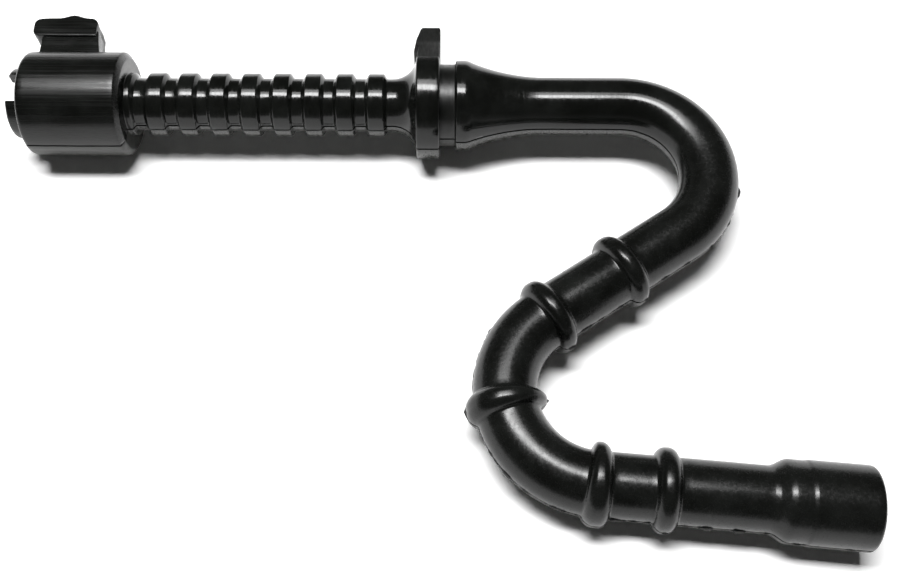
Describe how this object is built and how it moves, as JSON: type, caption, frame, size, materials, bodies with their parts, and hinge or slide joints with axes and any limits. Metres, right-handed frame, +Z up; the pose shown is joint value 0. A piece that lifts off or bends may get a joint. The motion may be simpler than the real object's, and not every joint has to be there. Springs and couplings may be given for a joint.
{
  "type": "fuel hose",
  "caption": "Moulded black rubber fuel hose with a ribbed inner neck, filter head, grooved tank seal, S-bent tube with beads and a wider cuff at its end.",
  "frame": {"origin": "on the hose's axis, halfway along the groove in the tank seal", "axes": "+X along the straight part, from the filter head to the first bend; +Y towards the lug and the seal's tab; +Z up, the hose lying down"},
  "size_m": [0.1114, 0.0764, 0.015],
  "materials": {
    "hose_rubber": "satin, near black"
  },
  "bodies": {
    "root": {"fuel_hose": "hose_rubber"}
  },
  "joints": []
}
